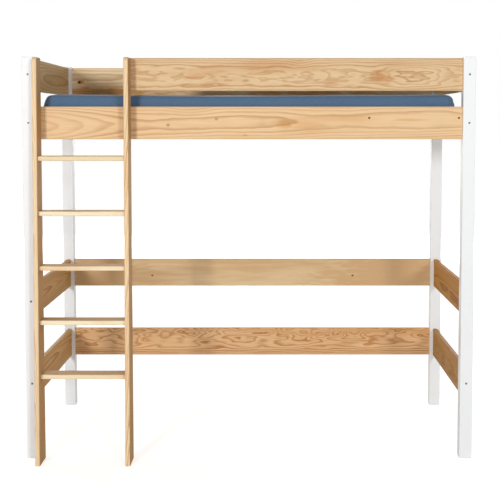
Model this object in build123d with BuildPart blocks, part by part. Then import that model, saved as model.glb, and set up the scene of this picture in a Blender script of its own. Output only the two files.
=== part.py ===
from build123d import *
from dataclasses import dataclass
import os

os.makedirs("parts", exist_ok=True)

# A loft bed for a 900 x 2000 mattress, in millimetres: four posts, boards bolted between them, a
# ladder on the front, a slatted base and a mattress. X runs along the bed, with the ladder near its
# left end, and Y runs from the ladder side to the back. The origin is on the floor, at the centre of
# the footprint with the ladder.

# Overall sizes, over the posts
bed_length = 2080
bed_width = 985
bed_height = 1870

# Posts
post_size = 57
post_edge_radius = 2.5
post_end_chamfer = 2

# Boards, all of one section and centred in the thickness of the posts
board_height = 150
board_thickness = 22
board_edge_radius = 4
low_board_bottom = 280
mid_board_bottom = 666
guard_drop = 5  # from the top of the posts to the top of the guard boards
guard_gap = 72  # clear height between the rails and the guard boards

# Ladder: two tapered sides that stand on the floor against the front rail, and the rungs between them
ladder_post_gap = 5.5
ladder_side_thickness = 22
ladder_top_depth = 91
ladder_foot_depth = 134
ladder_corner_radius = 22
ladder_edge_radius = 5
rung_count = 5
rung_length = 391
rung_depth = 86
rung_thickness = 22
rung_edge_radius = 5
first_rung_top = 414
last_rung_drop = 75  # from the bottom of the front rail to the top of the highest rung

# Slatted base: ledgers along the inside of the rails, and slats across them
ledger_width = 30
ledger_height = 35
ledger_edge_radius = 2
ledger_end_gap = 1
ledger_lift = 29  # from the bottom of the rails to the bottom of the ledgers
slat_count = 14
slat_width = 80
slat_thickness = 18
slat_edge_radius = 3
slat_side_gap = 3
slat_end_margin = 5

# Mattress
mattress_end_gap = 3  # to the posts
mattress_side_gap = 5  # to the rails
mattress_thickness = 122
mattress_corner_radius = 60
mattress_edge_radius = 32
mattress_seat_gap = 0.3

# Bolts through the posts, each into a barrel nut let into the hidden face of a board
bolt_diameter = 6
bolt_head_diameter = 10
bolt_head_height = 6
bolt_socket_width = 5
bolt_socket_depth = 3
bolt_recess = 1  # from the face of the post to the bolt head
bolt_run_out = 10  # the bolt's length past the middle of the nut
long_board_bolt_offset = 40
nut_diameter = 10
nut_length = 15
nut_distance = 40  # from the end of the board to the nut
nut_slot_width = 1.2
nut_slot_depth = 1.5

# Cap over the head of the one covered bolt
cap_diameter = 13
cap_thickness = 1.4
cap_edge_radius = 1
cap_stem_diameter = 4
cap_stem_length = 2.5  # in the socket of the bolt

# Dowels
dowel_diameter = 8
dowel_length = 40
dowel_chamfer = 1
short_board_dowel_offset = 60
rung_dowel_inset = 62  # from the back of the rung
rung_dowel_seat = 14  # depth in the ladder's side

# Screws
ladder_screw_diameter = 6
ladder_hole_diameter = 8  # in the boards, wide enough to set the ladder straight
ladder_screw_head_diameter = 12
ladder_screw_head_height = 3
ladder_screw_grip = 42  # length in the ladder's side
ladder_screw_lift = 98  # from the bottom of the front rail
guard_screw_offset = 35
rung_screw_diameter = 7
rung_screw_head_diameter = 10
rung_screw_socket_width = 4
rung_screw_grip = 28  # length in the rung
rung_screw_inset = 25  # from the back of the rung
ledger_screw_diameter = 5
ledger_screw_head_diameter = 9
ledger_screw_grip = 15  # length in the rail
slat_screw_diameter = 4
slat_screw_head_diameter = 8
slat_screw_grip = 20  # length in the ledger
screw_socket_depth = 2

# Blind holes in the middle board of the back, for the dowels of a desk top
desk_hole_diameter = 8
desk_hole_depth = 16
desk_hole_spacing = 1107
desk_hole_lift = 58  # from the bottom of the board

# Clearances of all holes, on the diameter and at the bottom
hole_clearance = 0.2
hole_end_clearance = 0.5

# Lines and levels that the pieces share
board_setback = (post_size - board_thickness) / 2
front_y = (ladder_foot_depth - board_setback - bed_width) / 2
back_y = front_y + bed_width
post_x = (bed_length - post_size) / 2
inner_x = bed_length / 2 - post_size
front_board_y = front_y + post_size / 2
back_board_y = back_y - post_size / 2
front_inner_y = front_board_y + board_thickness / 2
back_inner_y = back_board_y - board_thickness / 2
ladder_back_y = front_board_y - board_thickness / 2
guard_bottom = bed_height - guard_drop - board_height
rail_bottom = guard_bottom - guard_gap - board_height
ledger_top = rail_bottom + ledger_lift + ledger_height
slat_top = ledger_top + slat_thickness
left_ladder_x = ladder_post_gap + ladder_side_thickness / 2 - inner_x
right_ladder_x = left_ladder_x + ladder_side_thickness + rung_length
rung_pitch = (rail_bottom - last_rung_drop - first_rung_top) / (rung_count - 1)

levels = {
    "low_board": low_board_bottom + board_height / 2,
    "mid_board": mid_board_bottom + board_height / 2,
    "rail": rail_bottom + board_height / 2,
    "guard_board": guard_bottom + board_height / 2,
}
left_right = {"left": -1, "right": 1}
front_rear = {"front": -1, "rear": 1}

bolt_seat_depth = bolt_recess + bolt_head_height
bolt_hole_radius = (bolt_diameter + hole_clearance) / 2
dowel_hole_radius = (dowel_diameter + hole_clearance) / 2
dowel_hole_depth = dowel_length / 2 + hole_end_clearance
ladder_screw_hole_radius = (ladder_screw_diameter + hole_clearance) / 2
rung_screw_hole_radius = (rung_screw_diameter + hole_clearance) / 2
ledger_screw_hole_radius = (ledger_screw_diameter + hole_clearance) / 2
slat_screw_hole_radius = (slat_screw_diameter + hole_clearance) / 2


def save(piece, name):
    piece.part.label = name
    export_step(piece.part, f"parts/{name}.step")


@dataclass
class BoardEnd:
    """The end of a board where it meets a post, with the planes of what fastens it there."""

    corner: tuple
    point: Vector
    outward: Vector
    nut_side: Vector
    bolt_steps: tuple
    dowel_steps: tuple

    def planes(self, steps, shift, normal):
        return [Plane(self.point + shift + Vector(0, 0, step), z_dir=normal) for step in steps]

    def bolt_faces(self):
        return self.planes(self.bolt_steps, self.outward * post_size, self.outward)

    def bolt_mouths(self):
        return self.planes(self.bolt_steps, Vector(), self.outward)

    def nut_middles(self):
        return self.planes(self.bolt_steps, self.outward * -nut_distance, self.nut_side)

    def dowel_middles(self):
        return self.planes(self.dowel_steps, Vector(), self.outward)

    def drill_board(self):
        nut_mouths = [plane.offset(board_thickness / 2) for plane in self.nut_middles()]
        with Locations(*self.bolt_mouths()):
            Hole(bolt_hole_radius, depth=nut_distance + bolt_run_out + hole_end_clearance)
        with Locations(*nut_mouths):
            Hole((nut_diameter + hole_clearance) / 2, depth=(board_thickness + nut_length) / 2)
        with Locations(*self.dowel_middles()):
            Hole(dowel_hole_radius, depth=dowel_hole_depth)

    def drill_post(self):
        with Locations(*self.bolt_faces()):
            CounterBoreHole(
                bolt_hole_radius,
                (bolt_head_diameter + hole_clearance) / 2,
                bolt_seat_depth,
                depth=post_size,
            )
        with Locations(*[-plane for plane in self.dowel_middles()]):
            Hole(dowel_hole_radius, depth=dowel_hole_depth)


def long_board_end(x_side, board_y, middle_z):
    """The end of a board that runs along the bed, with a dowel between its two bolts."""
    return BoardEnd(
        corner=(x_side, board_y),
        point=Vector(x_side * inner_x, board_y, middle_z),
        outward=Vector(x_side, 0, 0),
        nut_side=Vector(0, 1, 0),
        bolt_steps=(-long_board_bolt_offset, long_board_bolt_offset),
        dowel_steps=(0,),
    )


def short_board_end(x_side, board_y, middle_z):
    """The end of a board across the bed, whose bolt passes between the long board's two."""
    outward = Vector(0, -1 if board_y == front_board_y else 1, 0)
    return BoardEnd(
        corner=(x_side, board_y),
        point=Vector(x_side * post_x, board_y, middle_z) - outward * (post_size / 2),
        outward=outward,
        nut_side=Vector(x_side, 0, 0),
        bolt_steps=(0,),
        dowel_steps=(-short_board_dowel_offset, short_board_dowel_offset),
    )


def board_section(x, y, middle_z, along):
    across = Vector(0, 0, 1).cross(Vector(along))
    with BuildSketch(Plane((x, y, middle_z), x_dir=across, z_dir=along)) as section:
        RectangleRounded(board_thickness, board_height, board_edge_radius)
    return section.sketch


# Where the fasteners of the ladder and the base go
slat_pitch = (2 * (inner_x - slat_end_margin) - slat_width) / (slat_count - 1)
slat_x = [(step - (slat_count - 1) / 2) * slat_pitch for step in range(slat_count)]
ledger_middle_z = ledger_top - ledger_height / 2
ledger_screw_x = [x + slat_pitch / 2 for x in slat_x[:-1:2]]
rung_middles = [first_rung_top - rung_thickness / 2 + step * rung_pitch for step in range(rung_count)]
rail_screw_z = rail_bottom + ladder_screw_lift
guard_screw_z = [levels["guard_board"] + step for step in (-guard_screw_offset, guard_screw_offset)]


def ladder_screw_head(x, z):
    return Plane((x, front_inner_y, z), z_dir=(0, 1, 0))


def ledger_screw_heads(y_side):
    rail_face_y = back_inner_y if y_side > 0 else front_inner_y
    face_y = rail_face_y - y_side * ledger_width
    return [Plane((x, face_y, ledger_middle_z), z_dir=(0, -y_side, 0)) for x in ledger_screw_x]


def drill_for_ladder(heads):
    with Locations(*heads):
        CounterBoreHole(
            ladder_hole_diameter / 2,
            (ladder_screw_head_diameter + hole_clearance) / 2,
            ladder_screw_head_height + hole_end_clearance,
            depth=board_thickness,
        )


def drill_for_ledger(y_side):
    with Locations(*[plane.offset(-ledger_width) for plane in ledger_screw_heads(y_side)]):
        Hole(ledger_screw_hole_radius, depth=ledger_screw_grip + hole_end_clearance)


# Boards across the bed, four at each end
board_ends = []
for level, middle in levels.items():
    for side, x_side in left_right.items():
        ends = [short_board_end(x_side, y, middle) for y in (front_board_y, back_board_y)]
        with BuildPart() as end_board:
            section = board_section(x_side * post_x, front_y + post_size, middle, along=(0, 1, 0))
            extrude(section, amount=bed_width - 2 * post_size)
            for end in ends:
                end.drill_board()
        save(end_board, f"end_{level}_{side}")
        board_ends += ends

# Boards along the back
for level, middle in levels.items():
    ends = [long_board_end(x_side, back_board_y, middle) for x_side in left_right.values()]
    with BuildPart() as rear_board:
        section = board_section(-inner_x, back_board_y, middle, along=(1, 0, 0))
        extrude(section, amount=2 * inner_x)
        for end in ends:
            end.drill_board()
        if level == "rail":
            drill_for_ledger(front_rear["rear"])
        if level == "mid_board":
            desk_z = mid_board_bottom + desk_hole_lift
            with Locations(Plane((0, back_inner_y, desk_z), x_dir=(1, 0, 0), z_dir=(0, -1, 0))):
                with GridLocations(desk_hole_spacing, 0, 2, 1):
                    Hole(desk_hole_diameter / 2, depth=desk_hole_depth)
    save(rear_board, f"rear_{level}")
    board_ends += ends

# Front rail, drilled so that the ladder fits either end of the bed
ladder_rail_screws = [ladder_screw_head(x, rail_screw_z) for x in (left_ladder_x, right_ladder_x)]
spare_ladder_holes = [ladder_screw_head(-x, rail_screw_z) for x in (left_ladder_x, right_ladder_x)]
ends = [long_board_end(x_side, front_board_y, levels["rail"]) for x_side in left_right.values()]
with BuildPart() as front_rail:
    section = board_section(-inner_x, front_board_y, levels["rail"], along=(1, 0, 0))
    extrude(section, amount=2 * inner_x)
    for end in ends:
        end.drill_board()
    drill_for_ladder(ladder_rail_screws + spare_ladder_holes)
    drill_for_ledger(front_rear["front"])
save(front_rail, "front_rail")
board_ends += ends

# Front guard board, from the ladder's right side to the right post, with the way in at its left
guard_screws = [ladder_screw_head(right_ladder_x, z) for z in guard_screw_z]
guard_left_x = right_ladder_x - ladder_side_thickness / 2
guard_end = long_board_end(left_right["right"], front_board_y, levels["guard_board"])
with BuildPart() as front_guard_board:
    section = board_section(guard_left_x, front_board_y, levels["guard_board"], along=(1, 0, 0))
    extrude(section, amount=inner_x - guard_left_x)
    guard_end.drill_board()
    drill_for_ladder(guard_screws)
save(front_guard_board, "front_guard_board")
board_ends.append(guard_end)

# Posts, drilled for every board end that meets them
for depth, y_side in front_rear.items():
    for side, x_side in left_right.items():
        corner = (x_side, back_board_y if y_side > 0 else front_board_y)
        with BuildPart() as post:
            with BuildSketch(Plane((x_side * post_x, corner[1], 0))):
                RectangleRounded(post_size, post_size, post_edge_radius)
            extrude(amount=bed_height)
            chamfer(post.faces().filter_by(Axis.Z).edges(), post_end_chamfer)
            for end in board_ends:
                if end.corner == corner:
                    end.drill_post()
        save(post, f"post_{depth}_{side}")

# Ladder sides: upright along the back, tapered along the front and rounded at the top
rung_screws_at = []
rung_dowels_at = []
for (name, side), middle_x in zip(left_right.items(), (left_ladder_x, right_ladder_x)):
    outer_x = middle_x + side * ladder_side_thickness / 2
    inner_face_x = outer_x - side * ladder_side_thickness
    screw_y = ladder_back_y - rung_screw_inset
    dowel_y = ladder_back_y - rung_dowel_inset
    screw_heads = [Plane((outer_x, screw_y, z), z_dir=(side, 0, 0)) for z in rung_middles]
    dowel_mouths = [Plane((inner_face_x, dowel_y, z), z_dir=(-side, 0, 0)) for z in rung_middles]
    back_screws_z = [rail_screw_z] + (guard_screw_z if name == "right" else [])
    back_mouths = [Plane((middle_x, ladder_back_y, z), z_dir=(0, 1, 0)) for z in back_screws_z]
    with BuildPart() as ladder_side:
        with BuildSketch(Plane((outer_x, ladder_back_y, 0), x_dir=(0, 1, 0), z_dir=(1, 0, 0))) as profile:
            with BuildLine():
                Polyline(
                    (0, 0),
                    (0, bed_height - guard_drop),
                    (-ladder_top_depth, bed_height - guard_drop),
                    (-ladder_foot_depth, 0),
                    close=True,
                )
            make_face()
            top_front = profile.vertices().group_by(Axis.Y)[-1].sort_by(Axis.X)[0]
            fillet(top_front, ladder_corner_radius)
        extrude(amount=-side * ladder_side_thickness)
        outline = ladder_side.faces().filter_by(Axis.X).edges()
        fillet(outline.filter_by(lambda edge: edge.center().Z > 0), ladder_edge_radius)
        with Locations(*screw_heads):
            CounterSinkHole(
                rung_screw_hole_radius,
                (rung_screw_head_diameter + hole_clearance) / 2,
                depth=ladder_side_thickness,
                counter_sink_angle=90,
            )
        with Locations(*dowel_mouths):
            Hole(dowel_hole_radius, depth=rung_dowel_seat + hole_end_clearance)
        with Locations(*back_mouths):
            Hole(ladder_screw_hole_radius, depth=ladder_screw_grip + hole_end_clearance)
    save(ladder_side, f"ladder_side_{name}")
    rung_screws_at += screw_heads
    rung_dowels_at += [plane.offset(dowel_length / 2 - rung_dowel_seat) for plane in dowel_mouths]

# Rungs, flush with the back of the ladder's sides
rung_left_x = left_ladder_x + ladder_side_thickness / 2
for number, middle in enumerate(rung_middles, start=1):
    with BuildPart() as rung:
        rung_y = ladder_back_y - rung_depth / 2
        with BuildSketch(Plane((rung_left_x, rung_y, middle), x_dir=(0, 1, 0), z_dir=(1, 0, 0))):
            RectangleRounded(rung_depth, rung_thickness, rung_edge_radius)
        extrude(amount=rung_length)
        for side, end_x in ((-1, rung_left_x), (1, rung_left_x + rung_length)):
            with Locations(Plane((end_x, ladder_back_y - rung_screw_inset, middle), z_dir=(side, 0, 0))):
                Hole(rung_screw_hole_radius, depth=rung_screw_grip + hole_end_clearance)
            with Locations(Plane((end_x, ladder_back_y - rung_dowel_inset, middle), z_dir=(side, 0, 0))):
                Hole(dowel_hole_radius, depth=dowel_length - rung_dowel_seat + hole_end_clearance)
    save(rung, f"ladder_rung_{number}")

# Ledgers, between the posts and under the slats
slat_start_y = front_inner_y + slat_side_gap
slat_length = back_inner_y - front_inner_y - 2 * slat_side_gap
ledger_middle_y = {
    "front": front_inner_y + ledger_width / 2,
    "rear": back_inner_y - ledger_width / 2,
}
slat_screw_y = list(ledger_middle_y.values())
for name, y in ledger_middle_y.items():
    with BuildPart() as ledger:
        ledger_left_x = ledger_end_gap - inner_x
        with BuildSketch(Plane((ledger_left_x, y, ledger_middle_z), x_dir=(0, 1, 0), z_dir=(1, 0, 0))):
            RectangleRounded(ledger_width, ledger_height, ledger_edge_radius)
        extrude(amount=-2 * ledger_left_x)
        with Locations(*ledger_screw_heads(front_rear[name])):
            CounterSinkHole(
                ledger_screw_hole_radius,
                (ledger_screw_head_diameter + hole_clearance) / 2,
                depth=ledger_width,
                counter_sink_angle=90,
            )
        with Locations(*[Plane((x, y, ledger_top)) for x in slat_x]):
            Hole(slat_screw_hole_radius, depth=slat_screw_grip + hole_end_clearance)
    save(ledger, f"slat_ledger_{name}")

# Slats
for number, x in enumerate(slat_x, start=1):
    with BuildPart() as slat:
        slat_middle_z = slat_top - slat_thickness / 2
        with BuildSketch(Plane((x, slat_start_y, slat_middle_z), x_dir=(1, 0, 0), z_dir=(0, 1, 0))):
            RectangleRounded(slat_width, slat_thickness, slat_edge_radius)
        extrude(amount=slat_length)
        with Locations(*[Plane((x, y, slat_top)) for y in slat_screw_y]):
            CounterSinkHole(
                slat_screw_hole_radius,
                (slat_screw_head_diameter + hole_clearance) / 2,
                depth=slat_thickness,
                counter_sink_angle=90,
            )
    save(slat, f"slat_{number:02d}")

# Mattress, a plain solid that lies loose on the slats
mattress_length = 2 * (inner_x - mattress_end_gap)
mattress_width = back_inner_y - front_inner_y - 2 * mattress_side_gap
with BuildPart() as mattress:
    with BuildSketch(Plane((0, (front_inner_y + back_inner_y) / 2, slat_top + mattress_seat_gap))):
        RectangleRounded(mattress_length, mattress_width, mattress_corner_radius)
    extrude(amount=mattress_thickness)
    fillet(mattress.faces().filter_by(Axis.Z).edges(), mattress_edge_radius)
save(mattress, "mattress")


def hex_socket(face_z, width, depth):
    with BuildSketch(Plane.XY.offset(face_z)) as socket:
        RegularPolygon(width / 2, 6, major_radius=False)
    extrude(socket.sketch, amount=-depth, mode=Mode.SUBTRACT)


def countersunk_screw(diameter, head_diameter, length, socket_width):
    """A screw that points down from its head, which is flush with Z = 0."""
    cone_depth = (head_diameter - diameter) / 2
    with BuildPart() as screw:
        with BuildSketch(Plane.XZ):
            with BuildLine():
                Polyline(
                    (0, 0),
                    (head_diameter / 2, 0),
                    (diameter / 2, -cone_depth),
                    (diameter / 2, diameter / 2 - length),
                    (0, -length),
                    close=True,
                )
            make_face()
        revolve(axis=Axis.Z)
        hex_socket(0, socket_width, screw_socket_depth)
    return screw.part


def save_group(piece, planes, name):
    with BuildPart() as group:
        with Locations(*planes):
            add(piece)
    save(group, name)


# Bolts, which point down from the face of the post, with a hexagon socket in a recessed head
with BuildPart() as post_bolt:
    with BuildSketch(Plane.XY.offset(-bolt_recess)):
        Circle(bolt_head_diameter / 2)
    extrude(amount=-bolt_head_height)
    with BuildSketch(Plane.XY.offset(-bolt_seat_depth)):
        Circle(bolt_diameter / 2)
    extrude(amount=bolt_seat_depth - post_size - nut_distance - bolt_run_out)
    hex_socket(-bolt_recess, bolt_socket_width, bolt_socket_depth)
bolt_faces = [plane for end in board_ends for plane in end.bolt_faces()]
save_group(post_bolt.part, bolt_faces, "post_bolts")

# Barrel nuts, with the bolt's hole across them and a screwdriver slot in the end that shows
with BuildPart() as barrel_nut:
    Cylinder(nut_diameter / 2, nut_length)
    with Locations(Plane.YZ.offset(nut_diameter / 2)):
        Hole(bolt_hole_radius, depth=nut_diameter)
    with Locations((0, 0, nut_length / 2)):
        Box(nut_slot_width, nut_diameter, 2 * nut_slot_depth, mode=Mode.SUBTRACT)
nut_planes = [
    Plane(plane.origin, x_dir=end.outward, z_dir=plane.z_dir)
    for end in board_ends
    for plane in end.nut_middles()
]
save_group(barrel_nut.part, nut_planes, "barrel_nuts")

# Cap over the bolt of the right end's middle board, on the front of the front post
middle_right_ends = [end for end in board_ends if end.point.Z == levels["mid_board"] and end.corner[0] > 0]
covered_end = next(end for end in middle_right_ends if end.outward.Y < 0)
with BuildPart() as cap:
    with BuildSketch():
        Circle(cap_diameter / 2)
    extrude(amount=cap_thickness)
    fillet(cap.edges().sort_by(Axis.Z)[-1], cap_edge_radius)
    with BuildSketch():
        Circle(cap_stem_diameter / 2)
    extrude(amount=-bolt_recess - cap_stem_length)
save_group(cap.part, covered_end.bolt_faces(), "bolt_cap")

# Dowels beside the bolts and in the rungs
with BuildPart() as dowel:
    Cylinder(dowel_diameter / 2, dowel_length)
    chamfer(dowel.faces().filter_by(Axis.Z).edges(), dowel_chamfer)
save_group(dowel.part, [plane for end in board_ends for plane in end.dowel_middles()], "board_dowels")
save_group(dowel.part, rung_dowels_at, "rung_dowels")

# Screws of the rungs, ledgers and slats
rung_screw = countersunk_screw(
    rung_screw_diameter,
    rung_screw_head_diameter,
    ladder_side_thickness + rung_screw_grip,
    rung_screw_socket_width,
)
save_group(rung_screw, rung_screws_at, "rung_screws")
ledger_screw = countersunk_screw(
    ledger_screw_diameter,
    ledger_screw_head_diameter,
    ledger_width + ledger_screw_grip,
    ledger_screw_diameter / 2,
)
ledger_screws_at = [plane for y_side in front_rear.values() for plane in ledger_screw_heads(y_side)]
save_group(ledger_screw, ledger_screws_at, "ledger_screws")
slat_screw = countersunk_screw(
    slat_screw_diameter,
    slat_screw_head_diameter,
    slat_thickness + slat_screw_grip,
    slat_screw_diameter / 2,
)
slat_screws_at = [Plane((x, y, slat_top)) for x in slat_x for y in slat_screw_y]
save_group(slat_screw, slat_screws_at, "slat_screws")

# Screws that hold the ladder, from inside the bed, with flat heads let into the boards
with BuildPart() as ladder_screw:
    with BuildSketch(Plane.XY.offset(-hole_end_clearance)):
        Circle(ladder_screw_head_diameter / 2)
    extrude(amount=-ladder_screw_head_height)
    with BuildSketch(Plane.XY.offset(-hole_end_clearance - ladder_screw_head_height)):
        Circle(ladder_screw_diameter / 2)
    extrude(amount=hole_end_clearance + ladder_screw_head_height - board_thickness - ladder_screw_grip)
    hex_socket(-hole_end_clearance, rung_screw_socket_width, screw_socket_depth)
save_group(ladder_screw.part, ladder_rail_screws + guard_screws, "ladder_screws")
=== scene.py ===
import math
import random

import bmesh
import bpy
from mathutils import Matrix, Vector, noise


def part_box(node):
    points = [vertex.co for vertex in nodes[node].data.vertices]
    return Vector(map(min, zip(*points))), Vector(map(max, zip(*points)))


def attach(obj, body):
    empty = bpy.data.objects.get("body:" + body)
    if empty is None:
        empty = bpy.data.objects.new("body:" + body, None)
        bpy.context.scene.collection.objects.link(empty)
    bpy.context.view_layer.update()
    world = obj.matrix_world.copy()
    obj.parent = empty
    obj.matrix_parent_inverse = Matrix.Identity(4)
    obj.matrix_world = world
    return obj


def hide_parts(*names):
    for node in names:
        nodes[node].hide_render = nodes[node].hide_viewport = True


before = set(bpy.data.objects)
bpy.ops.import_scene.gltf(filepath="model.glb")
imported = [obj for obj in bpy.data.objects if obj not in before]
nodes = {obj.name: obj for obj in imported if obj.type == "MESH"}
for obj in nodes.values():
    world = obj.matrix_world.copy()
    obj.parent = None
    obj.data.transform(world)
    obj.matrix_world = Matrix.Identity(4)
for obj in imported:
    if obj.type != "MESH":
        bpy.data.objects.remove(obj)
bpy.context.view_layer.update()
scene = bpy.context.scene

mm = 0.001


def paint(hexColour):
    # sRGB hex to the linear colour that a shader wants
    values = [int(hexColour[i:i + 2], 16) / 255 for i in (1, 3, 5)]
    linear = (v / 12.92 if v <= 0.04045 else ((v + 0.055) / 1.055) ** 2.4 for v in values)
    return (*linear, 1.0)


def addNode(tree, kind, inputs=None, **settings):
    made = tree.nodes.new(kind)
    for name, value in settings.items():
        setattr(made, name, value)
    for name, value in (inputs or {}).items():
        if isinstance(value, bpy.types.NodeSocket):
            tree.links.new(value, made.inputs[name])
        else:
            made.inputs[name].default_value = value
    return made


def startMaterial(name):
    material = bpy.data.materials.new(name)
    material.use_nodes = True
    tree = material.node_tree
    tree.nodes.clear()
    return material, tree, addNode(tree, "ShaderNodeTexCoord").outputs["Object"]


def finishMaterial(tree, shader):
    output = addNode(tree, "ShaderNodeOutputMaterial")
    tree.links.new(shader.outputs[0], output.inputs["Surface"])


def dress(material, *nodeNames):
    for nodeName in nodeNames:
        for part in nodes[nodeName].material_slots:
            part.material = material


def newObject(name, shape, material):
    # a finished bmesh becomes an object of the scene
    mesh = bpy.data.meshes.new(name)
    shape.to_mesh(mesh)
    shape.free()
    mesh.materials.append(material)
    made = bpy.data.objects.new(name, mesh)
    scene.collection.objects.link(made)
    return made


# Clear-lacquered solid pine, sawn plain and planed. Growth rings cut by the saw
# give the eye lines along a board's edges and arches down its middle, each line
# darkening slowly and then ending sharply, over fine fibre streaks.

pine = {
    "seed": 1.0,
    "early": "#F1D2A6",      # soft spring wood
    "late": "#B67D46",       # hard summer wood, the dark line
    "patch": "#DDA66D",      # resin-rich areas and stains, including stains of painted shade
    # knot colour, also used for painted shade in drilled holes
    "knot": "#6A3C1C",
    "face": None,            # broad faces of thick pieces, painted darker than their edges: painted shade
    "ring": 5.5,             # mm between rings
    "wander": 5.0,           # mm that the stem strays from straight
    "ripple": 0.7,           # rings that small waves move a line
    "phase": 0.0,            # rings to shift, which sets the tone of the board's middle
    "flame": None,           # curl of figured boards: rings, across, reach, wave along, wave across
    "contrast": 0.7,
    "pith": (110.0, 0.0),    # mm from the board's middle, through it and across it
    "lean": (0.0, 0.0),      # degrees between the stem and the board
    "swells": (),            # where rings bulge: along, across, reach along, reach across, rings
    "stainsAndShade": (),            # stains, and painted shade: along, across, reach along, reach across, strength
    "knotsAndHoleShade": (),             # knots, and dark discs of painted shade in drilled holes: along, across, radius, strength
}

# what all boards share; waves are counted per metre along a board, through it and across it
grain = {
    "bendWaves": (1.1, 6.0, 6.0),
    "rippleWaves": (8.0, 12.0, 24.0),
    "curlThrough": 20.0,
    "curlRest": 0.12,                    # share of the curl that is left outside its band
    "firstRing": 100.0,                  # high enough that no ring has a negative number
    "line": ((0.08, 0.0), (0.5, 0.1), (0.82, 0.9), (0.94, 1.0)),    # darkness through a year
    "yearEnd": 0.3,
    "lineStrength": (0.35, 1.2),         # in the faintest year and in the darkest
    "fibreWaves": (7.0, 400.0, 400.0),   # fibres are 0.04 mm wide, drawn 60 times as coarse to show
    "fibreRange": (0.3, 0.75),
    "fibreDarkness": (-0.05, 0.17),
    "resinWaves": (2.2, 8.0, 18.0),
    "resinRange": (0.45, 0.75),
    "resinDepth": 0.5,
    "stainWaves": (12.0, 20.0, 60.0),
    "stainRaggedness": 1.6,
    "stainEdge": (1.15, 1.85),
    "knotEdge": (0.6, 1.2),
    "knotFlatness": 0.8,
    "shadedFaceDepth": (9.4, 10.9),            # mm from the middle of a piece to where the painted shade of its broad faces begins
    "roughness": (0.65, 0.54),           # of pale wood and of dark lines
    "gloss": 0.06,
    "relief": (0.25, 0.12),              # strength, and mm
}

turns = {
    "long": (0, 0, 0),                            # along X, standing on edge
    "end": (0, 0, math.pi / 2),                   # along Y, standing on edge
    "upright": (0, -math.pi / 2, -math.pi / 2),   # along Z, its width along Y
    "tread": (math.pi / 2, 0, 0),                 # along X, lying flat
    "slat": (math.pi / 2, 0, math.pi / 2),        # along Y, lying flat
}


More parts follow.
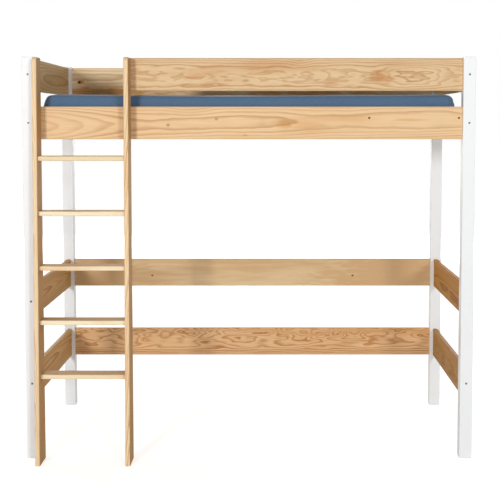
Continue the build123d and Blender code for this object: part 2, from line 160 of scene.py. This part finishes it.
def dressInPine(nodeName, turn, **changes):
    look = dict(pine, **changes)
    seed = look["seed"]
    material, tree, place = startMaterial(nodeName + "_pine")
    lowest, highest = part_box(nodeName)
    # x runs along the board, y through it and z across it
    board = addNode(tree, "ShaderNodeMapping", {
        "Vector": place, "Location": (lowest + highest) / 2, "Rotation": turns[turn]},
        vector_type="TEXTURE").outputs[0]

    def waves(scale, detail, shift=0.0):
        # each board has its own place in the noise
        spread = addNode(tree, "ShaderNodeMapping", {
            "Vector": board, "Location": (seed * 3.1 + shift, seed * 1.7, seed * 2.3),
            "Scale": scale})
        return addNode(tree, "ShaderNodeTexNoise", {
            "Vector": spread.outputs[0], "Scale": 1.0, "Detail": detail})

    def away(along, across, reachAlong, reachAcross):
        # 0 in the middle of an oval on the board's face, 1 on its rim
        oval = addNode(tree, "ShaderNodeMapping", {
            "Vector": board, "Location": (along * mm, 0.0, across * mm),
            "Scale": (reachAlong * mm, 1e6, reachAcross * mm)}, vector_type="TEXTURE")
        return addNode(tree, "ShaderNodeVectorMath", {
            0: oval.outputs[0]}, operation="LENGTH").outputs["Value"]

    # the stem bends slowly, and its rings are counted outwards from the pith
    centred = addNode(tree, "ShaderNodeVectorMath", {
        0: waves(grain["bendWaves"], 2.0).outputs["Color"], 1: (0.5, 0.5, 0.5)},
        operation="SUBTRACT")
    stray = look["wander"] * mm * 4    # a cloud swings by about a quarter
    bent = addNode(tree, "ShaderNodeVectorMath", {
        0: centred.outputs[0], 1: (0.0, stray, stray), 2: board}, operation="MULTIPLY_ADD")
    stem = addNode(tree, "ShaderNodeMapping", {
        "Vector": bent.outputs[0],
        "Location": (0.0, look["pith"][0] * mm, look["pith"][1] * mm),
        "Rotation": (0.0, math.radians(look["lean"][0]), math.radians(look["lean"][1]))})
    flat = addNode(tree, "ShaderNodeVectorMath", {
        0: stem.outputs[0], 1: (0.0, 1.0, 1.0)}, operation="MULTIPLY")
    radius = addNode(tree, "ShaderNodeVectorMath", {0: flat.outputs[0]}, operation="LENGTH")
    rings = addNode(tree, "ShaderNodeMath", {
        0: radius.outputs["Value"], 1: 1 / (look["ring"] * mm),
        2: grain["firstRing"] + look["phase"]}, operation="MULTIPLY_ADD").outputs[0]
    rings = addNode(tree, "ShaderNodeMath", {
        0: waves(grain["rippleWaves"], 2.0).outputs[0], 1: look["ripple"], 2: rings},
        operation="MULTIPLY_ADD").outputs[0]
    if look["flame"]:
        curl, across, reach, longWave, crossWave = look["flame"]
        curlWaves = (1000 / longWave, grain["curlThrough"], 1000 / crossWave)
        curls = waves(curlWaves, 1.4, shift=7.0)
        force = addNode(tree, "ShaderNodeMapRange", {
            "Value": away(0.0, across, 1e6, reach),
            "To Min": curl, "To Max": grain["curlRest"] * curl}, interpolation_type="SMOOTHSTEP")
        rings = addNode(tree, "ShaderNodeMath", {
            0: curls.outputs[0], 1: force.outputs[0], 2: rings},
            operation="MULTIPLY_ADD").outputs[0]
    for *oval, rise in look["swells"]:
        push = addNode(tree, "ShaderNodeMapRange", {
            "Value": away(*oval), "To Min": rise, "To Max": 0.0},
            interpolation_type="SMOOTHERSTEP")
        rings = addNode(tree, "ShaderNodeMath", {
            0: rings, 1: push.outputs[0]}, operation="ADD").outputs[0]

    # one line a year, as dark as that year made it
    season = addNode(tree, "ShaderNodeMath", {0: rings}, operation="FRACT")
    line = addNode(tree, "ShaderNodeValToRGB", {"Fac": season.outputs[0]})
    stops = line.color_ramp.elements
    value = grain["yearEnd"]
    stops[0].color = stops[1].color = (value, value, value, 1)
    for position, value in grain["line"]:
        stops.new(position).color = (value, value, value, 1)
    year = addNode(tree, "ShaderNodeMath", {0: rings}, operation="FLOOR")
    growth = addNode(tree, "ShaderNodeTexWhiteNoise", {"W": year.outputs[0]},
                     noise_dimensions="1D")
    faint, strong = grain["lineStrength"]
    strength = addNode(tree, "ShaderNodeMapRange", {
        "Value": growth.outputs["Value"],
        "To Min": faint * look["contrast"], "To Max": strong * look["contrast"]})
    lines = addNode(tree, "ShaderNodeMath", {
        0: line.outputs[0], 1: strength.outputs[0]}, operation="MULTIPLY")
    streaks = addNode(tree, "ShaderNodeMapRange", {
        "Value": waves(grain["fibreWaves"], 3.0).outputs[0],
        "From Min": grain["fibreRange"][0], "From Max": grain["fibreRange"][1],
        "To Min": grain["fibreDarkness"][0], "To Max": grain["fibreDarkness"][1]})
    darkness = addNode(tree, "ShaderNodeMath", {
        0: lines.outputs[0], 1: streaks.outputs[0]}, operation="ADD", use_clamp=True).outputs[0]

    resinStainAndShade = addNode(tree, "ShaderNodeMapRange", {
        "Value": waves(grain["resinWaves"], 3.0, shift=3.0).outputs[0],
        "From Min": grain["resinRange"][0], "From Max": grain["resinRange"][1],
        "To Max": grain["resinDepth"]}, interpolation_type="SMOOTHSTEP").outputs[0]
    # stains, some of them painted shade on the rear boards, deepen the patch colour
    for *oval, depth in look["stainsAndShade"]:
        ragged = addNode(tree, "ShaderNodeMath", {
            0: waves(grain["stainWaves"], 2.0, shift=1.0).outputs[0], 1: grain["stainRaggedness"],
            2: away(*oval)}, operation="MULTIPLY_ADD")
        stainAndShadeMask = addNode(tree, "ShaderNodeMapRange", {
            "Value": ragged.outputs[0], "From Min": grain["stainEdge"][0],
            "From Max": grain["stainEdge"][1], "To Min": depth, "To Max": 0.0},
            interpolation_type="SMOOTHSTEP")
        resinStainAndShade = addNode(tree, "ShaderNodeMath", {
            0: resinStainAndShade, 1: stainAndShadeMask.outputs[0]}, operation="MAXIMUM").outputs[0]

    wood = paint(look["early"])
    # the broad faces blend to the face colour: painted shade on the sides of the ladder and on the
    # tops and bottoms of treads
    if look["face"]:
        through = addNode(tree, "ShaderNodeSeparateXYZ", {"Vector": board}).outputs["Y"]
        fromMiddle = addNode(tree, "ShaderNodeMath", {0: through}, operation="ABSOLUTE")
        faceShade = addNode(tree, "ShaderNodeMapRange", {
            "Value": fromMiddle.outputs[0], "From Min": grain["shadedFaceDepth"][0] * mm,
            "From Max": grain["shadedFaceDepth"][1] * mm}, interpolation_type="SMOOTHSTEP")
        wood = addNode(tree, "ShaderNodeMix", {
            0: faceShade.outputs[0], 6: wood, 7: paint(look["face"])}, data_type="RGBA").outputs[2]
    ground = addNode(tree, "ShaderNodeMix", {
        0: resinStainAndShade, 6: wood, 7: paint(look["patch"])}, data_type="RGBA").outputs[2]
    colour = addNode(tree, "ShaderNodeMix", {
        0: darkness, 6: ground, 7: paint(look["late"])}, data_type="RGBA").outputs[2]
    # knots, and dark discs painted as shade inside drilled holes
    for along, across, size, depth in look["knotsAndHoleShade"]:
        core = addNode(tree, "ShaderNodeMapRange", {
            "Value": away(along, across, size, size * grain["knotFlatness"]),
            "From Min": grain["knotEdge"][0], "From Max": grain["knotEdge"][1],
            "To Min": depth, "To Max": 0.0}, interpolation_type="SMOOTHSTEP")
        colour = addNode(tree, "ShaderNodeMix", {
            0: core.outputs[0], 6: colour, 7: paint(look["knot"])}, data_type="RGBA").outputs[2]

    roughness = addNode(tree, "ShaderNodeMapRange", {
        "Value": darkness, "To Min": grain["roughness"][0], "To Max": grain["roughness"][1]})
    relief = addNode(tree, "ShaderNodeBump", {
        "Height": darkness, "Strength": grain["relief"][0], "Distance": grain["relief"][1] * mm})
    shader = addNode(tree, "ShaderNodeBsdfPrincipled", {
        "Base Color": colour, "Roughness": roughness.outputs[0], "IOR": 1.5,
        "Specular IOR Level": grain["gloss"], "Normal": relief.outputs[0]})
    finishMaterial(tree, shader)
    dress(material, nodeName)


# what sets one board apart from the next, with places in mm from the board's middle
# end boards face along the bed; their darker, more saturated colours are painted shade
shadedEndPine = dict(early="#E6BE84", late="#A56C34")
# ladder sides keep pale front and back edges; their face colour is painted shade on their broad
# sides
ladderPine = dict(ring=3.4, wander=3, contrast=0.55, face="#C8A06D")
boards = {
    "front_rail": ("long", dict(
        pith=(150, -4.3), lean=(0.83, 0.0), phase=1.25, ring=5.4, contrast=0.52,
        early="#EECCA0", knot="#8E5527",
        swells=((-1075, -22, 682, 600, -3.5), (430, 6, 480, 400, 0.5), (1300, 0, 900, 600, 1.5),
                (-260, 70, 170, 70, 0.9), (746, 0, 300, 80, 0.42)),
        stainsAndShade=((170, -10, 50, 26, 0.7), (270, -14, 130, 18, 0.5), (-20, -57, 24, 6, 1.0),
                (745, 14, 80, 8, 0.5)),
        # the last two are painted shade in the spare holes
        knotsAndHoleShade=((-372, -10, 9, 0.5), (-150, 18, 9, 0.4), (553.5, 23, 6, 0.9),
               (966.5, 23, 6, 0.9)))),
    "front_guard_board": ("long", dict(
        pith=(120, 6), ring=5.2, ripple=1.2, contrast=0.95,
        early="#E4C69D", late="#AE7740", patch="#CC9565", flame=(2.8, -12, 62, 80, 17),
        swells=((30, 70, 90, 60, 0.9), (551, -6, 240, 96, -2.4), (-454, -14, 60, 20, -0.8)),
        stainsAndShade=((398, -15, 64, 38, 0.8), (-190, 26, 75, 10, 0.7), (161, -44, 50, 12, 0.5),
                (-454, -15, 60, 9, 0.85)))),
    "rear_guard_board": ("long", dict(
        pith=(130, -30), ring=5.0, contrast=0.8,
        early="#FFE6BC", late="#BC8450", patch="#D8954F", swells=((-933, -2, 23, 21, 1.0),),
        # the first two stains, orange-brown along the lower edge, are painted shade
        stainsAndShade=((-840, -54, 560, 32, 0.85), (300, -60, 500, 14, 0.8), (-934, -1, 24, 18, 0.9)),
        knotsAndHoleShade=((-945, -2, 10, 1.0), (310, 22, 6, 0.8)))),
    "rear_rail": ("long", dict(pith=(120, 20), lean=(0.0, 0.8))),
    "rear_mid_board": ("long", dict(
        pith=(40, 320), ring=3.0, wander=2, ripple=0.4, contrast=0.3,
        early="#E6CBA2", late="#C49764", patch="#C49360",
        # both wide stains darken the board towards its ends: painted shade
        stainsAndShade=((760, 0, 520, 240, 0.5), (-840, 0, 420, 240, 0.5)),
        # both are painted shade in drilled holes
        knotsAndHoleShade=((-553.5, -17, 6, 0.9), (553.5, -17, 6, 0.9)))),
    "rear_low_board": ("long", dict(
        seed=41.0, pith=(120, -80), ring=6.5, wander=7, contrast=1.15,
        early="#E9C091", late="#AC6C35", patch="#D49A60", flame=(12.0, 60, 120, 180, 50),
        swells=((470, 50, 75, 48, 3.2),))),
    "end_guard_board_left": ("end", dict(
        shadedEndPine, pith=(90, 12), ring=12.0, contrast=0.5, swells=((60, 4, 800, 110, -1.8),))),
    "end_guard_board_right": ("end", dict(shadedEndPine, pith=(120, -14), lean=(0.0, 1.0))),
    "end_rail_left": ("end", dict(shadedEndPine, pith=(110, 22), lean=(0.0, -0.9))),
    "end_rail_right": ("end", dict(
        shadedEndPine, pith=(100, -8), lean=(0.0, 1.4), knotsAndHoleShade=((120, 14, 7, 0.9),))),
    # the middle and low end boards are darker and more saturated still: painted shade
    "end_mid_board_left": ("end", dict(
        pith=(90, 4), lean=(0.0, 1.1), early="#CFA66E", late="#9A622C")),
    "end_mid_board_right": ("end", dict(
        pith=(140, 34), lean=(0.0, 0.5), early="#C9944F", late="#8E541C")),
    "end_low_board_left": ("end", dict(
        pith=(100, -20), lean=(0.0, 0.8), early="#D4AB73", late="#9A622C",
        knotsAndHoleShade=((-160, -18, 6, 0.9),))),
    "end_low_board_right": ("end", dict(
        pith=(110, 10), lean=(0.0, -1.2), early="#C0935A", late="#86521F",
        flame=(3.0, 0, 90, 130, 60))),
    "ladder_side_left": ("upright", dict(ladderPine, pith=(30, 110), early="#F8DDB4")),
    "ladder_side_right": ("upright", dict(ladderPine, pith=(36, -104), early="#F6D9AF")),
    "slat_ledger_front": ("long", dict(pith=(50, 90), ring=3.6)),
    "slat_ledger_rear": ("long", dict(pith=(52, -86), ring=3.6)),
}
for number, (nodeName, (turn, changes)) in enumerate(boards.items(), 1):
    dressInPine(nodeName, turn, **{"seed": float(number), **changes})

# treads and slats are cut from paler wood, each from its own place in the log
# treads: the face colour is painted shade on their tops and bottoms
treadPine = dict(contrast=0.35, face="#DDBB8E")
treadColours = ("#FAE8C4", "#FFF4D4", "#FFEDC6", "#FFF2D0", "#F3E2BC")    # from the floor up
chance = random.Random(11)
for nodeName in sorted(n for n in nodes if n.startswith(("ladder_rung_", "slat_0", "slat_1"))):
    changes = dict(pith=(chance.uniform(70, 150), chance.uniform(-50, 50)),
                   lean=(0.0, chance.uniform(-1.0, 1.0)), ring=chance.uniform(3.6, 5.6),
                   seed=chance.uniform(20, 90))
    if nodeName.startswith("ladder_rung_"):
        early = treadColours[int(nodeName[-1]) - 1]
        dressInPine(nodeName, "tread", early=early, **treadPine, **changes)
    else:
        dressInPine(nodeName, "slat", **changes)
print("pine done")


# Sprayed satin lacquer on planed pine: even white, soft gloss, with a trace of
# orange peel and of the grain below it.

lacquer = {
    "colour": "#F5F6F7",
    "shade": "#EFF0F1",
    "shadeSize": 200,                    # mm
    "roughness": 0.4,
    "gloss": 0.2,
    "peel": 2.5,                         # mm
    "grainWaves": (160.0, 160.0, 4.0),   # per metre, long up the posts
    "grainHeight": 1.6,                  # times the peel's
    "relief": (0.2, 0.05),               # strength, and mm
}

material, tree, place = startMaterial("white_lacquer")
peel = addNode(tree, "ShaderNodeTexNoise", {
    "Vector": place, "Scale": 1 / (lacquer["peel"] * mm), "Detail": 1.0})
along = addNode(tree, "ShaderNodeMapping", {"Vector": place, "Scale": lacquer["grainWaves"]})
grainBelow = addNode(tree, "ShaderNodeTexNoise", {
    "Vector": along.outputs[0], "Scale": 1.0, "Detail": 3.0})
height = addNode(tree, "ShaderNodeMath", {
    0: grainBelow.outputs[0], 1: lacquer["grainHeight"], 2: peel.outputs[0]},
    operation="MULTIPLY_ADD")
relief = addNode(tree, "ShaderNodeBump", {
    "Height": height.outputs[0], "Strength": lacquer["relief"][0],
    "Distance": lacquer["relief"][1] * mm})
cloud = addNode(tree, "ShaderNodeTexNoise", {
    "Vector": place, "Scale": 1 / (lacquer["shadeSize"] * mm), "Detail": 3.0})
colour = addNode(tree, "ShaderNodeMix", {
    0: cloud.outputs[0], 6: paint(lacquer["colour"]), 7: paint(lacquer["shade"])},
    data_type="RGBA")
shader = addNode(tree, "ShaderNodeBsdfPrincipled", {
    "Base Color": colour.outputs[2], "Roughness": lacquer["roughness"], "IOR": 1.5,
    "Specular IOR Level": lacquer["gloss"], "Normal": relief.outputs[0]})
finishMaterial(tree, shader)
dress(material, "post_front_left", "post_front_right", "post_rear_left", "post_rear_right")
print("lacquer done")


# Cold-formed bolts, nuts and screws with a thin zinc plate: grey, softly shiny,
# a little mottled where the plating is thinner.

zinc = {
    "bright": "#74777A",
    "dull": "#55585B",
    "roughness": (0.42, 0.62),
    "mottle": 1.2,             # mm
}

material, tree, place = startMaterial("zinc_plated_steel")
mottle = addNode(tree, "ShaderNodeTexNoise", {
    "Vector": place, "Scale": 1 / (zinc["mottle"] * mm), "Detail": 3.0})
colour = addNode(tree, "ShaderNodeMix", {
    0: mottle.outputs[0], 6: paint(zinc["bright"]), 7: paint(zinc["dull"])}, data_type="RGBA")
roughness = addNode(tree, "ShaderNodeMapRange", {
    "Value": mottle.outputs[0], "To Min": zinc["roughness"][0], "To Max": zinc["roughness"][1]})
shader = addNode(tree, "ShaderNodeBsdfPrincipled", {
    "Base Color": colour.outputs[2], "Metallic": 1.0, "Roughness": roughness.outputs[0]})
finishMaterial(tree, shader)
dress(material, "post_bolts", "barrel_nuts", "rung_screws", "ledger_screws", "slat_screws",
      "ladder_screws")


# Turned and fluted beech: pale pinkish brown with short dark flecks.

beech = {
    "colour": "#DDB78C",
    "fleck": "#B98A5E",
    "fleckSize": 1.5,          # mm
    "roughness": 0.6,
}

material, tree, place = startMaterial("beech")
fleck = addNode(tree, "ShaderNodeTexNoise", {
    "Vector": place, "Scale": 1 / (beech["fleckSize"] * mm), "Detail": 2.0})
colour = addNode(tree, "ShaderNodeMix", {
    0: fleck.outputs[0], 6: paint(beech["colour"]), 7: paint(beech["fleck"])}, data_type="RGBA")
shader = addNode(tree, "ShaderNodeBsdfPrincipled", {
    "Base Color": colour.outputs[2], "Roughness": beech["roughness"]})
finishMaterial(tree, shader)
dress(material, "board_dowels", "rung_dowels")


# Moulded white polyethylene: slightly warmer and waxier than the lacquer.

cap = {
    "colour": "#F3F3F0",
    "roughness": 0.42,
    "pebble": 0.8,             # mm
    "relief": (0.15, 0.03),    # strength, and mm
}

material, tree, place = startMaterial("white_polyethylene")
pebble = addNode(tree, "ShaderNodeTexNoise", {
    "Vector": place, "Scale": 1 / (cap["pebble"] * mm), "Detail": 1.0})
relief = addNode(tree, "ShaderNodeBump", {
    "Height": pebble.outputs[0], "Strength": cap["relief"][0],
    "Distance": cap["relief"][1] * mm})
shader = addNode(tree, "ShaderNodeBsdfPrincipled", {
    "Base Color": paint(cap["colour"]), "Roughness": cap["roughness"], "IOR": 1.5,
    "Normal": relief.outputs[0]})
finishMaterial(tree, shader)
dress(material, "bolt_cap")
print("metal, beech and cap done")


# Woven cotton fitted sheet, dyed denim blue: matt, with a soft sheen at grazing
# angles and a slightly uneven dye.

cover = {
    "colour": "#516E8C",
    "lift": "#607F97",                   # where less dye took
    "slubAndGapShade": "#425B7C",                   # in thick yarn, and painted shade between the yarns
    "dyeWaves": 4.5,                     # pale places per metre
    "thread": 2.4,                       # mm, real yarn is 0.4 and is drawn coarser to show
    "bandAtOne": 0.314,                  # m between the bands of a wave texture at scale 1
    "uneven": 1.5,
    "slubWaves": (60.0, 240.0, 240.0),   # thick places in the yarn, per metre
    "slubDepth": 0.5,
    "gapShadeDepth": 0.35,
    "roughness": 0.92,
    "sheen": (0.15, 0.5),                # weight and roughness
    "relief": (0.3, 0.12),               # strength, and mm
}

cottonCover, tree, place = startMaterial("cotton_cover")
# yarns run three ways, so that every side of the mattress shows two of them
weave = 0.0
for direction in "XYZ":
    yarn = addNode(tree, "ShaderNodeTexWave", {
        "Vector": place, "Scale": cover["bandAtOne"] / (cover["thread"] * mm),
        "Distortion": cover["uneven"], "Detail": 1.0, "Detail Scale": 0.4},
        wave_type="BANDS", bands_direction=direction)
    weave = addNode(tree, "ShaderNodeMath", {
        0: yarn.outputs["Fac"], 1: weave}, operation="ADD").outputs[0]
along = addNode(tree, "ShaderNodeMapping", {"Vector": place, "Scale": cover["slubWaves"]})
slub = addNode(tree, "ShaderNodeTexNoise", {
    "Vector": along.outputs[0], "Scale": 1.0, "Detail": 3.0})
# darker between the yarns: painted shade in the gaps of the weave
gapShade = addNode(tree, "ShaderNodeMapRange", {
    "Value": weave, "From Max": 3.0, "To Min": cover["gapShadeDepth"], "To Max": 0.0})
slubsAndGapShade = addNode(tree, "ShaderNodeMath", {
    0: slub.outputs[0], 1: cover["slubDepth"], 2: gapShade.outputs[0]}, operation="MULTIPLY_ADD")
dye = addNode(tree, "ShaderNodeTexNoise", {
    "Vector": place, "Scale": cover["dyeWaves"], "Detail": 3.0})
base = addNode(tree, "ShaderNodeMix", {
    0: dye.outputs[0], 6: paint(cover["colour"]), 7: paint(cover["lift"])}, data_type="RGBA")
colour = addNode(tree, "ShaderNodeMix", {
    0: slubsAndGapShade.outputs[0], 6: base.outputs[2], 7: paint(cover["slubAndGapShade"])}, data_type="RGBA")
relief = addNode(tree, "ShaderNodeBump", {
    "Height": weave, "Strength": cover["relief"][0], "Distance": cover["relief"][1] * mm})
shader = addNode(tree, "ShaderNodeBsdfPrincipled", {
    "Base Color": colour.outputs[2], "Roughness": cover["roughness"],
    "Sheen Weight": cover["sheen"][0], "Sheen Roughness": cover["sheen"][1],
    "Normal": relief.outputs[0]})
finishMaterial(tree, shader)


mattress = {
    "bottomInset": -2,       # mm inside the frame's mattress, at its foot
    "topInset": 26,          # mm at the top, where the sheet pulls the ends in
    "sideInset": 6,
    "start": 7,              # mm thinner above and below before it is filled
    "corner": (45, 8),       # plan radius in mm, and its segments
    "edge": (14, 6),
    "voxel": 13,
    "pressure": 4.0,
    "mass": 0.3,
    "stretch": 12,
    "shear": 4,
    "bending": 0.6,
    "shrink": -0.02,         # below 0 the sheet is cut a little large
    "swell": 8,              # mm that a point may move
    "frames": 20,
    "folds": 14,             # folds in a full turn about each top corner
    "foldBend": 5,
    "foldDepth": 2.4,        # mm
    "foldReach": 300,        # mm from the corner
    "endRise": 9,            # mm that the top stands higher towards its ends
    "hollows": (1.7, 2.1),   # per metre along and across the top
    "hollowDepth": 2.5,      # mm
}
low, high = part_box("mattress")
middle = (low + high) / 2
half = (high - low) / 2


def roundEdges(shape, edges, size):
    radius, segments = size
    bmesh.ops.bevel(shape, geom=edges, offset=radius * mm, segments=segments, profile=0.5,
                    affect="EDGES", material=-1)


def applyModifiers(piece):
    seen = piece.evaluated_get(bpy.context.evaluated_depsgraph_get())
    mesh = bpy.data.meshes.new_from_object(seen)
    old = piece.data
    piece.modifiers.clear()
    piece.data = mesh
    bpy.data.meshes.remove(old)


shape = bmesh.new()
bmesh.ops.create_cube(shape, size=2)
for vert in shape.verts:
    endInset = mattress["topInset"] if vert.co.z > 0 else mattress["bottomInset"]
    insets = (endInset, mattress["sideInset"], mattress["start"])
    reach = Vector(size - inset * mm for size, inset in zip(half, insets))
    vert.co = vert.co * reach + middle
uprights = [e for e in shape.edges if abs(e.verts[0].co.z - e.verts[1].co.z) > half.z]
roundEdges(shape, uprights, mattress["corner"])
rims = [e for e in shape.edges if len(e.link_faces) == 2
        and any(abs(f.normal.z) > 0.95 for f in e.link_faces)
        and any(abs(f.normal.z) < 0.5 for f in e.link_faces)]
roundEdges(shape, rims, mattress["edge"])
bmesh.ops.recalc_face_normals(shape, faces=shape.faces)
pad = newObject("mattress_pad", shape, cottonCover)
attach(pad, "mattress")

even = pad.modifiers.new("even", "REMESH")
even.mode = "VOXEL"
even.voxel_size = mattress["voxel"] * mm
applyModifiers(pad)

before = [v.co.copy() for v in pad.data.vertices]
fill = pad.modifiers.new("fill", "CLOTH")
cloth = fill.settings
cloth.quality = 5
cloth.mass = mattress["mass"]
cloth.tension_stiffness = mattress["stretch"]
cloth.compression_stiffness = mattress["stretch"]
cloth.shear_stiffness = mattress["shear"]
cloth.bending_stiffness = mattress["bending"]
cloth.use_pressure = True
cloth.uniform_pressure_force = mattress["pressure"]
cloth.shrink_min = mattress["shrink"]
cloth.effector_weights.gravity = 0
fill.collision_settings.use_collision = False
for step in range(1, mattress["frames"] + 1):
    scene.frame_set(step)
applyModifiers(pad)
scene.frame_set(1)
for vert, start in zip(pad.data.vertices, before):
    move = vert.co - start
    if move.length > mattress["swell"] * mm:
        vert.co = start + move.normalized() * mattress["swell"] * mm
print("mattress filled")

smooth = pad.modifiers.new("smooth", "SUBSURF")
smooth.levels = smooth.render_levels = 1
applyModifiers(pad)

# folds fan out over the sides from each top corner, where the fitted sheet is gathered
for vert in pad.data.vertices:
    fromMiddle = vert.co - middle
    below = half.z - fromMiddle.z
    beside = half.x - abs(fromMiddle.x) + half.y - abs(fromMiddle.y)
    away = math.hypot(below, beside) / (mattress["foldReach"] * mm)
    if away < 1:
        turned = math.atan2(below, beside)
        # a place in the noise for each corner, so that no two corners fold alike
        spot = (turned * 2, math.copysign(3, fromMiddle.x), math.copysign(5, fromMiddle.y))
        bend = mattress["foldBend"] * noise.noise(Vector(spot))
        wave = math.sin(turned * mattress["folds"] + bend)
        fold = wave * min(1.0, 5 * away) * (1 - away) ** 1.5
        side = 1 - abs(vert.normal.z)
        vert.co += vert.normal * fold * side * mattress["foldDepth"] * mm

# the top stands a little higher towards its ends, as foam does under a tight sheet
hollowsAlong, hollowsAcross = mattress["hollows"]
for vert in pad.data.vertices:
    along = (vert.co.x - middle.x) / half.x
    upward = max(0.0, (vert.co.z - middle.z) / half.z)
    rise = mattress["endRise"] * along ** 2 * (1 - 0.5 * along ** 2)
    swell = noise.noise(Vector((vert.co.x * hollowsAlong, vert.co.y * hollowsAcross, 3.0)))
    vert.co.z += upward * (rise + mattress["hollowDepth"] * swell) * mm
for face in pad.data.polygons:
    face.use_smooth = True
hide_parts("mattress")
print("mattress done")


# the floor is plain and pale; what sees it directly sees it white, with the shadow kept

studio = {
    "floorSize": 60.0,               # m
    "floorColour": "#E6E6E4",
    "floorGlow": (0.65, 0.84),       # under the bed, where lamps add to it, and far away
    "floorGlowReach": (2.0, 6.0),    # m over which it changes
    "ambient": 0.23,
    "aim": (0.0, 0.0, 0.95),
    "lamps": {
        "left": dict(at=(-3.3, -10.4, 2.7), size=1.2, power=505.0),
        "right": dict(at=(3.4, -10.4, 2.7), size=1.2, power=280.0),
        "backLeft": dict(at=(-2.6, 9.0, 2.2), size=2.6, power=190.0),
        "backRight": dict(at=(2.6, 9.0, 2.2), size=2.6, power=190.0),
        "endLeft": dict(at=(-2.6, 1.0, 1.7), size=1.0, power=11.0),
        "endRight": dict(at=(2.6, 1.0, 1.7), size=1.0, power=11.0),
    },
    "camera": dict(at=(0.0943, -5.2825, 1.5779), down=3.755, lens=75.96, shift=(-0.0388, -0.12)),
}


def seenDirectly(tree):
    path = addNode(tree, "ShaderNodeLightPath")
    some = addNode(tree, "ShaderNodeMath", {
        0: path.outputs["Is Camera Ray"], 1: path.outputs["Is Glossy Ray"]}, operation="MAXIMUM")
    return addNode(tree, "ShaderNodeMath", {
        0: some.outputs[0], 1: path.outputs["Is Transmission Ray"]},
        operation="MAXIMUM").outputs[0]


material, tree, place = startMaterial("paper_floor")
matt = addNode(tree, "ShaderNodeBsdfDiffuse", {"Color": paint(studio["floorColour"])})
dark = addNode(tree, "ShaderNodeEmission", {"Strength": 0.0})
distance = addNode(tree, "ShaderNodeVectorMath", {0: place}, operation="LENGTH")
strength = addNode(tree, "ShaderNodeMapRange", {
    "Value": distance.outputs["Value"],
    "From Min": studio["floorGlowReach"][0], "From Max": studio["floorGlowReach"][1],
    "To Min": studio["floorGlow"][0], "To Max": studio["floorGlow"][1]},
    interpolation_type="SMOOTHSTEP")
glow = addNode(tree, "ShaderNodeEmission", {"Strength": strength.outputs[0]})
lit = addNode(tree, "ShaderNodeMixShader", {
    0: seenDirectly(tree), 1: dark.outputs[0], 2: glow.outputs[0]})
finishMaterial(tree, addNode(tree, "ShaderNodeAddShader", {0: matt.outputs[0], 1: lit.outputs[0]}))
shape = bmesh.new()
bmesh.ops.create_grid(shape, x_segments=1, y_segments=1, size=studio["floorSize"])
newObject("floor", shape, material)

world = bpy.data.worlds.new("studio")
scene.world = world
world.use_nodes = True
tree = world.node_tree
tree.nodes.clear()
soft = addNode(tree, "ShaderNodeBackground", {
    "Color": (1, 1, 1, 1), "Strength": studio["ambient"]})
white = addNode(tree, "ShaderNodeBackground", {"Color": (1, 1, 1, 1), "Strength": 1.0})
mix = addNode(tree, "ShaderNodeMixShader", {
    0: seenDirectly(tree), 1: soft.outputs[0], 2: white.outputs[0]})
output = addNode(tree, "ShaderNodeOutputWorld")
tree.links.new(mix.outputs[0], output.inputs["Surface"])

for name, lamp in studio["lamps"].items():
    data = bpy.data.lights.new(name, "AREA")
    data.size = lamp["size"]
    data.energy = lamp["power"]
    light = bpy.data.objects.new(name, data)
    light.location = lamp["at"]
    light.visible_camera = False
    toAim = Vector(studio["aim"]) - light.location
    light.rotation_euler = toAim.to_track_quat("-Z", "Y").to_euler()
    scene.collection.objects.link(light)

view = studio["camera"]
data = bpy.data.cameras.new("camera")
data.lens = view["lens"]
data.sensor_width = 36.0
data.shift_x, data.shift_y = view["shift"]
camera = bpy.data.objects.new("camera", data)
camera.location = view["at"]
camera.rotation_euler = (math.radians(90 - view["down"]), 0.0, 0.0)
scene.collection.objects.link(camera)
scene.camera = camera
scene.view_settings.view_transform = "Standard"
print("stage done")
